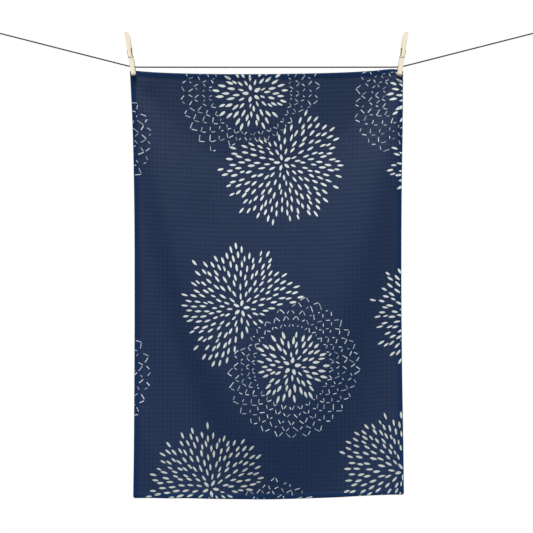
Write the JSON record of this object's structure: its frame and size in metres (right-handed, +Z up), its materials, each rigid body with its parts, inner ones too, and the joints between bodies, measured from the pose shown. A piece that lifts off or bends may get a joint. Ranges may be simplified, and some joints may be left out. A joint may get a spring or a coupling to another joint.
{
  "type": "tea towel pegged on a clothesline",
  "caption": "Waffle tea towel with narrow hems and a flower print, hanging in soft bowed folds from wooden spring pegs at its top corners on a taut thin line.",
  "frame": {"origin": "centre of the eye at the line's left end, which a hook outside the picture holds", "axes": "+X runs along the line to its right end, +Y away from the viewer, +Z up"},
  "size_m": [0.8454, 0.0268, 0.7069],
  "materials": {
    "towel_cotton": "matt navy waffle cotton with an off-white flower print",
    "peg_wood": "bare pale wood, sanded",
    "spring_wire": "plain drawn wire, slightly dull",
    "line_cord": "dark grey twisted cord, matt"
  },
  "bodies": {
    "root": {"towel": "towel_cotton", "line": "line_cord", "line_end_left": "line_cord", "line_end_right": "line_cord", "peg_left_front": "peg_wood", "peg_left_back": "peg_wood", "peg_left_spring": "spring_wire", "peg_right_front": "peg_wood", "peg_right_back": "peg_wood", "peg_right_spring": "spring_wire"}
  },
  "joints": []
}
